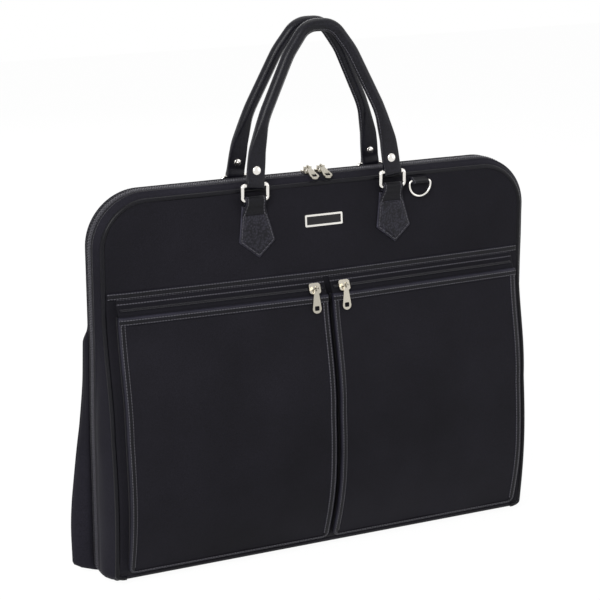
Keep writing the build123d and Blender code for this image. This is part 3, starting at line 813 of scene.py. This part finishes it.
def side_binding(name, x0, x1, top, rise_at, side):
    length = 2 * (top - pocket_low) + x1 - x0 - (4 - math.pi) * pocket_corner

    def point(u, v):
        along = u * length
        x, z, in_x, in_z = pocket_edge(x0, x1, top, along)
        width = binding_width + (binding_low_width - binding_width) * in_z ** 2
        inward, height = edge_profile(v, width)
        x += in_x * inward
        z += in_z * inward
        lift = max(rise_at(max(z, pocket_low)) + height, seam_lift)
        return x, side * (face_depth(x, z) + lift), z, along, inward

    return shaped_grid(name, 260, 18, point)


def lip_binding(name, x0, x1, top, rise_at, side):
    def point(u, v):
        x = x0 - wrap_out + (x1 - x0 + 2 * wrap_out) * u
        inward, height = edge_profile(v, binding_width)
        z = top - inward
        lift = rise_at(z) + height + seam_lift
        return x, side * (face_depth(x, z) + lift), z, x, inward

    return shaped_grid(name, 130, 18, point)


binding_leather = leather_material("binding_leather", row=0.0013, width=binding_width)
for hand, near, far in pocket_spans:
    pocket = patch_pocket(f"{hand}_pocket_cloth", near, far, mouth_z, pocket_rise, -1)
    finish_piece(pocket, nylon, "front_half", f"pocket_{hand}")
    binding = joined(
        f"{hand}_pocket_binding",
        side_binding("side", near, far, mouth_z, pocket_rise, -1),
        lip_binding("lip", near, far, mouth_z, pocket_rise, -1),
    )
    thicken(binding, 0.0008, -1.0)
    finish_piece(binding, binding_leather, "front_half", f"pocket_binding_{hand}")

# ---------------------------------------------------------------- pocket zips
# A cloth strip with a line of fine teeth over each pocket's mouth. Its upper
# edge is folded, with a row of stitches along the fold.
coil_low, coil_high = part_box("pocket_zip_coil_left")
pocket_pitch = 0.0019
pocket_tooth_rise = 0.0008
pocket_teeth_end = 0.002
strip_tuck = 0.002
strip_fold_up = 0.0030
strip_fold_rise = 0.0010
strip_hem_down = 0.0028
strip_hem_rise = 0.0008
pocket_teeth_colour = (0.0115, 0.0109, 0.0150, 1.0)
pocket_teeth_nylon = teeth_material("pocket_zip_teeth", pocket_teeth_colour)
for hand, near, far in pocket_spans:

    def strip_point(u, v):
        x = near + u * (far - near)
        z = mouth_z - strip_tuck + v * (trim_low - mouth_z + strip_tuck)
        above_fold = z - coil_high.z - strip_fold_up
        fold_line = strip_fold_rise * ridge(above_fold, 0.0012)
        hem = strip_hem_rise * ridge(z - coil_low.z + strip_hem_down, 0.0010)
        return x, on_front(x, z, pocket_rise(z) - 0.0004 + fold_line + hem), z, x, above_fold

    strip = shaped_grid(f"{hand}_pocket_zip_strip", 130, 36, strip_point)
    thicken(strip, 0.0010, -1.0)
    finish_piece(strip, tape_cloth, "front_half", f"pocket_zip_tape_{hand}")
    count = int((far - near - 2 * pocket_teeth_end) / pocket_pitch)

    def coil_point(u, v):
        place, high = tooth_at(round(u * 4 * count))
        shift = 0.5 if v < 0.5 else 0.0
        x = min(near + pocket_teeth_end + (place + shift) * pocket_pitch, far - pocket_teeth_end)
        z = coil_low.z + v * (coil_high.z - coil_low.z)
        seam = 1.0 - 0.6 * ridge(v - 0.5, 0.06)
        lift = (0.0002 + pocket_tooth_rise * high) * domed(v) * seam
        return x, on_front(x, z, pocket_rise(z) + lift), z, x, z

    coil = shaped_grid(f"{hand}_pocket_teeth", 4 * count, 10, coil_point)
    thicken(coil, 0.0005, -1.0)
    finish_piece(coil, pocket_teeth_nylon, "front_half", f"pocket_zip_coil_{hand}")

# ---------------------------------------------------------------- rear pocket
# One open-topped patch pocket of nylon across the rear, sewn on at its sides
# and bottom, with a leather binding along its mouth.
rear_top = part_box("rear_pocket")[1].z
rear_stand = 0.009
rear_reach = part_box("rear_pocket")[1].x


def rear_rise(_):
    return rear_stand


rear_patch = patch_pocket("rear_pocket_cloth", -rear_reach, rear_reach, rear_top, rear_rise, 1)
finish_piece(rear_patch, nylon, "rear_half", "rear_pocket")
rear_lip = lip_binding("rear_pocket_lip", -rear_reach, rear_reach, rear_top, rear_rise, 1)
thicken(rear_lip, 0.0008, 1.0)
finish_piece(rear_lip, binding_leather, "rear_half", "rear_pocket_binding")

# ---------------------------------------------------------------- handle tabs
# Four pointed leather tabs with a raised, grained field inside a stitched
# border, each ending in a loop that carries a metal ring.
tab_place = 0.088
tab_neck = 0.0135
tab_body = 0.0225
tab_top = 0.430
tab_shoulder = 0.386
tab_tip = 0.367
tab_thick = 0.0024
tab_border = 0.0040
tab_field_rise = 0.0012
tab_edge_round = 0.0011
tab_sewn = 0.0004
hem_drop = 0.003
field_drop = 0.014
tab_lean = {"front": 0.085, "rear": 0.0}
loop_start = 0.4165
ring_level = 0.435
ring_stand = 0.028
loop_radius = 0.0043
loop_half = 0.0122
loop_up = 0.40
loop_over = 0.45
loop_tail = 0.006
tab_colour = (0.0290, 0.0280, 0.0390, 1.0)


def tab_reach(z):
    if z < tab_shoulder:
        return tab_body * (z - tab_tip) / (tab_shoulder - tab_tip)
    return tab_body + (tab_neck - tab_body) * (z - tab_shoulder) / (tab_top - tab_shoulder)


def tab_inset(x, z):
    """Distance in from the two slanting edges of a tab's outline."""
    low_run = math.hypot(tab_body, tab_shoulder - tab_tip)
    low = ((z - tab_tip) * tab_body - abs(x) * (tab_shoulder - tab_tip)) / low_run
    slant = tab_body - tab_neck
    high_run = math.hypot(slant, tab_top - tab_shoulder)
    high = ((tab_body - abs(x)) * (tab_top - tab_shoulder) - (z - tab_shoulder) * slant) / high_run
    return max(min(low, high), 0.0)


tab_leather = leather_material("tab_leather", colour=tab_colour, grain=420.0, depth=0.9, row=0.0024)
loop_leather = leather_material("loop_leather", row=0.0024, width=2 * loop_half)
for half, side in (("front", -1), ("rear", 1)):
    for hand, sign in (("left", -1), ("right", 1)):

        def tab_point(u, v):
            z = tab_tip + (tab_top - hem_drop - tab_tip) * v
            x = (2 * u - 1) * tab_reach(z)
            inset = tab_inset(x, z)
            edge = tab_thick * (1.0 - (1.0 - min(inset / tab_edge_round, 1.0)) ** 2) ** 0.5
            field = smooth_step((inset - tab_border) / 0.0010)
            field *= smooth_step((tab_top - field_drop - z) / 0.0012)
            lift = 0.0002 + edge + tab_field_rise * field
            place = sign * tab_place + x + tab_lean[half] * (tab_top - z)
            return place, side * (face_depth(place, z) + lift), z, z, inset

        tab = shaped_grid("tab", 56, 96, tab_point)

        def loop_point(u, v):
            x = sign * tab_place + (2 * u - 1) * loop_half
            if v < loop_up:
                share = v / loop_up
                z = loop_start + (ring_level - loop_start) * share
                flare = tab_reach(z) - tab_sewn - loop_half
                shift = tab_lean[half] * (tab_top - loop_start) * (1.0 - share)
                x += (2 * u - 1) * flare * (1.0 - smooth_step(share)) + shift
                start = face_depth(x, z) + tab_thick + tab_sewn
                y = start + (ring_stand + loop_radius - start) * smooth_step(share)
            elif v < loop_up + loop_over:
                turn = math.pi * (v - loop_up) / loop_over
                y = ring_stand + loop_radius * math.cos(turn)
                z = ring_level + loop_radius * math.sin(turn)
            else:
                y = ring_stand - loop_radius
                z = ring_level - loop_tail * (v - loop_up - loop_over) / (1.0 - loop_up - loop_over)
            return x, side * y, z, v * 0.04, u * 2 * loop_half

        loop = shaped_grid("loop", 14, 44, loop_point)
        thicken(tab, 0.0015, side)
        thicken(loop, 0.0019, side)
        finish_piece(loop, loop_leather, f"{half}_half", f"{half}_tab_{hand}")
        loop.name = f"{half}_{hand}_ring_loop"
        finish_piece(tab, tab_leather, f"{half}_half", f"{half}_tab_{hand}")
        tab.name = f"{half}_{hand}_tab_leather"

# ---------------------------------------------------------------- handles
# Two rolled grips with flat ends folded round the rings. The seam of each
# roll shows as a lip along its inner side.
bar_level = 0.452
end_length = 0.018
end_half = 0.0108
end_thick = 0.0025
end_taper = 0.060
eye_taper = 0.010
eye_radius = 0.0043
grip_radius = 0.0066
lip_height = 0.0016
lip_width = 0.035
splay = math.radians(7.0)
lean = math.radians(5.0)
grip_round = 0.039
handle_colour = (0.0105, 0.0100, 0.0160, 1.0)
grip_corners = [
    Vector((-tab_place, bar_level)), Vector((-0.0834, 0.4898)), Vector((-0.0744, 0.5260)),
    Vector((-0.0400, 0.5960)), Vector((-0.0170, 0.6270)),
]
grip_corners += [Vector((-spot.x, spot.y)) for spot in reversed(grip_corners)]
grip_bends = [0.060, 0.110, 0.090, 0.026]
grip_bends += list(reversed(grip_bends))


def rounded_path(points, radii, spacing):
    """The points of a polyline with rounded corners, no further apart than spacing."""
    spots = [points[0]]
    for before, corner, after, radius in zip(points, points[1:], points[2:], radii):
        come = (corner - before).normalized()
        leave = (after - corner).normalized()
        turn = come.angle(leave)
        inward = (leave - come * leave.dot(come)).normalized()
        centre = corner - come * radius * math.tan(turn / 2) + inward * radius
        count = max(2, math.ceil(radius * turn / spacing))
        for number in range(count + 1):
            swung = turn * number / count
            spots.append(centre - inward * radius * math.cos(swung) + come * radius * math.sin(swung))
    spots.append(points[-1])
    return spots


grip_line = rounded_path(grip_corners, grip_bends, 0.002)
grip_marks = [0.0]
for start, end in zip(grip_line, grip_line[1:]):
    grip_marks.append(grip_marks[-1] + (end - start).length)
grip_length = grip_marks[-1]


def on_grip(distance):
    """Place and direction along the grip's middle line."""
    reach = min(max(distance, 0.0), grip_length)
    number = 1
    while number < len(grip_marks) - 1 and grip_marks[number] < reach:
        number += 1
    start, end = grip_line[number - 1], grip_line[number]
    heading = (end - start).normalized()
    return start + heading * (distance - grip_marks[number - 1]), heading


def leaned(x, y, z, side):
    """A point given upright over a ring's bar, tipped towards the other handle."""
    turn = side * lean
    up = z - bar_level
    across = side * ring_stand + y * math.cos(turn) - up * math.sin(turn)
    return x, across, bar_level + y * math.sin(turn) + up * math.cos(turn)


# Only a hairline of painted highlight along the roll's edges.
grip_leather = leather_material(
    "handle_leather", colour=handle_colour, grain=700.0, row=0.0172, width=grip_round, rim_highlight_width=0.0001,
    shine=0.12,
)
for half, side in (("front", -1), ("rear", 1)):

    def grip_point(u, v):
        along = -eye_radius + u * (grip_length + 2 * eye_radius)
        from_end = min(along, grip_length - along)
        spot, heading = on_grip(along)
        rolled = smooth_step((from_end - end_length) / end_taper)
        if from_end < 0:
            thick = math.sqrt(max(eye_radius ** 2 - from_end ** 2, 0.0))
        else:
            thick = end_thick + (eye_radius - end_thick) * (1.0 - smooth_step(from_end / eye_taper))
        wide = end_half + (grip_radius - end_half) * rolled
        thick = thick + (grip_radius - thick) * rolled
        power = 2.0 / (7.0 - 5.0 * rolled)
        turn = 2 * math.pi * v
        out = math.copysign(abs(math.cos(turn)) ** power, math.cos(turn))
        over = math.copysign(abs(math.sin(turn)) ** power, math.sin(turn))
        lip = lip_height * rolled * ridge(v - 0.5, lip_width)
        x = spot.x - heading.y * (wide * out - lip)
        z = spot.y + heading.x * (wide * out - lip)
        return *leaned(x, thick * over, z, side), along, v * grip_round

    grip = shaped_grid(f"{half}_handle_leather", 300, 40, grip_point, closed=True)
    finish_piece(grip, grip_leather, f"{half}_handle", f"{half}_handle_strap")

# ---------------------------------------------------------------- rivets
# Domed nickel rivets through both layers of the handle ends, with flat burrs on
# the inner side.
rivet_up = 0.0165
rivet_radius = 0.0052
dome_height = 0.0021
burr_radius = 0.0042
burr_height = 0.0009
shank_radius = 0.0018
shank_height = 0.0017
rivet_parts = (
    (1, rivet_radius, dome_height), (-1, burr_radius, burr_height), (-1, shank_radius, shank_height),
)
nickel_colour = (0.80, 0.775, 0.735, 1.0)


def nickel_material(name, smoothest, roughest, colour=nickel_colour):
    material, shader = worn_material(name, colour, 160.0, 4.0, smoothest, roughest)
    shader.inputs["Metallic"].default_value = 1.0
    return material


nickel = nickel_material("polished_nickel", 0.10, 0.26)
for half, side in (("front", -1), ("rear", 1)):
    heads = bmesh.new()
    for sign in (-1, 1):
        spot_x = sign * (tab_place - rivet_up * math.sin(splay))
        spot_z = bar_level + rivet_up * math.cos(splay)
        for facing, radius, height in rivet_parts:
            centre = Vector(leaned(spot_x, side * facing * end_thick, spot_z, side))
            placing = Matrix.Translation(centre) @ Matrix.Rotation(side * lean, 4, "X")
            placing = placing @ Matrix.Rotation(math.pi / 2, 4, "X")
            placing = placing @ Matrix.Diagonal((radius, radius, height, 1.0))
            bmesh.ops.create_uvsphere(heads, u_segments=32, v_segments=16, radius=1.0, matrix=placing)
    for face in heads.faces:
        face.smooth = True
    rivets = placed_mesh(f"{half}_rivet_heads", heads)
    finish_piece(rivets, nickel, f"{half}_handle", f"{half}_handle_rivets")

# ---------------------------------------------------------------- D-ring tabs
# Short leather tabs sewn in under the top piping and folded round the straight
# side of each D-ring.
d_stand = 0.0265
d_level = 0.437
d_loop = 0.0034
d_lead = 0.35
d_over = 0.45
d_tuck = 0.0004
for half, side in (("front", -1), ("rear", 1)):
    low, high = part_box(f"{half}_d_ring_tab")

    def d_tab_point(u, v):
        x = low.x + u * (high.x - low.x)
        if v < d_lead:
            z = high.z - d_tuck + (d_level - high.z + d_tuck) * v / d_lead
            y = face_depth(x, z) + 0.0022
            y += (d_stand + d_loop - y) * smooth_step(v / d_lead)
        elif v < d_lead + d_over:
            turn = math.pi * (v - d_lead) / d_over
            y = d_stand + d_loop * math.cos(turn)
            z = d_level - d_loop * math.sin(turn)
        else:
            share = (v - d_lead - d_over) / (1.0 - d_lead - d_over)
            y = d_stand - d_loop - 0.0008 * share
            z = d_level + (high.z - 0.0030 - d_level) * share
        return x, side * y, z, v * 0.03, u * (high.x - low.x)

    d_tab = shaped_grid(f"{half}_d_tab_leather", 14, 40, d_tab_point)
    thicken(d_tab, 0.0018, -side)
    finish_piece(d_tab, loop_leather, f"{half}_half", f"{half}_d_ring_tab")

# ---------------------------------------------------------------- D-rings
# Bent nickel-plated wire, straight through the tab and half round below it. One
# hangs on each half, at opposite ends of the bag.
d_place = 0.126
d_half = 0.0140
d_drop = 0.0180
d_wire = 0.0014
d_bend = 0.0030
d_corners = [
    Vector((0.0, 0.0)), Vector((-d_half, 0.0)), Vector((-d_half, -d_drop)), Vector((d_half, -d_drop)),
    Vector((d_half, 0.0)), Vector((0.0, 0.0)),
]
d_line = rounded_path(d_corners, [d_bend, d_half, d_half, d_bend], 0.0008)
d_pieces = len(d_line) - 1
for half, side in (("front", -1), ("rear", 1)):

    def d_ring_point(u, v):
        number = round(u * d_pieces) % d_pieces
        heading = (d_line[(number + 1) % d_pieces] - d_line[number - 1]).normalized()
        turn = 2 * math.pi * v
        out = d_wire * math.cos(turn)
        x = d_line[number].x - heading.y * out
        z = d_line[number].y + heading.x * out
        return -side * d_place + x, side * d_stand + d_wire * math.sin(turn), d_level + z, u, v

    d_ring = shaped_grid(f"{half}_d_ring_wire", d_pieces, 16, d_ring_point, closed=True)
    finish_piece(d_ring, nickel, f"{half}_d_ring", f"{half}_d_ring")

# ---------------------------------------------------------------- inside
# A smooth lining in each half, a webbing strap over the clothes and a small
# leather patch that carries the hanger clip.
lining_inset = 0.0064
lining_depth = 0.0043
lining_colour = (0.0250, 0.0240, 0.0290, 1.0)
lining_cloth = cloth_material("lining_cloth", lining_colour, thread_scale=1300.0, relief=0.12)
for half, side in (("front", -1), ("rear", 1)):
    lining_low, lining_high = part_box(f"{half}_lining")

    def lining_point(u, v):
        z = lining_low.z + v * (lining_high.z - lining_low.z - 0.0006)
        x = (2 * u - 1) * half_width_at(z, lining_inset)
        loose = max(wrinkle(0.0008, x * 16, z * 11, side * 4.0), 0.0)
        return x, side * (face_depth(x, z) - lining_depth - loose), z, x, z

    lining = shaped_grid(f"{half}_lining_cloth", 80, 90, lining_point)
    thicken(lining, 0.0006, side)
    finish_piece(lining, lining_cloth, f"{half}_half", f"{half}_lining")

strap_low, strap_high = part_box("garment_strap")
strap_depth = 0.0055


def strap_point(u, v):
    x, z = spot_in(strap_low, strap_high, u, v)
    rib = 0.0002 * math.sin(v * 10 * math.pi) ** 2
    return x, face_depth(x, z) - strap_depth - rib, z, x, z


strap = shaped_grid("tie_strap_webbing", 110, 40, strap_point)
thicken(strap, 0.0013, 1.0)
finish_piece(strap, tape_cloth, "rear_half", "garment_strap")
patch_low, patch_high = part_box("hanger_patch")
patch_depth = 0.0056
patch_rise = 0.0012
patch_round = 0.0015


def patch_point(u, v):
    x, z = spot_in(patch_low, patch_high, u, v)
    inset = min(x - patch_low.x, patch_high.x - x, z - patch_low.z, patch_high.z - z)
    return x, face_depth(x, z) - patch_depth - patch_rise * smooth_step(inset / patch_round), z, x, inset


patch_leather = leather_material("patch_leather", row=0.0022)
patch = shaped_grid("hanger_patch_leather", 50, 40, patch_point)
thicken(patch, 0.0010, 1.0)
finish_piece(patch, patch_leather, "rear_half", "hanger_patch")

# ---------------------------------------------------------------- metal and plastic
# Rings, sliders, pulls, the bare name plate, the hanger clip and the strap's
# buckle keep their exact solids and get their finishes.
pull_colour = (0.470, 0.440, 0.375, 1.0)
plate_colour = (0.030, 0.029, 0.031, 1.0)
pull_nickel = nickel_material("pull_nickel", 0.14, 0.34, pull_colour)
plate_field = nickel_material("plate_field", 0.30, 0.45, plate_colour)
moulded = teeth_material("moulded_plastic", teeth_colour)
metal_pieces = [f"{half}_ring_{hand}" for half in ("front", "rear") for hand in ("left", "right")]
metal_pieces += ["name_plate_frame", "hanger_clip"]
pull_pieces = [
    f"{zone}_{kind}_{hand}" for zone in ("main", "pocket") for kind in ("slider", "link", "pull")
    for hand in ("left", "right")
]
finishes = {name: nickel for name in metal_pieces}
finishes.update({name: pull_nickel for name in pull_pieces})
finishes.update({"name_plate_insert": plate_field, "strap_buckle": moulded})
for name, material in finishes.items():
    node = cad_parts[name]
    node.data.materials.clear()
    node.data.materials.append(material)
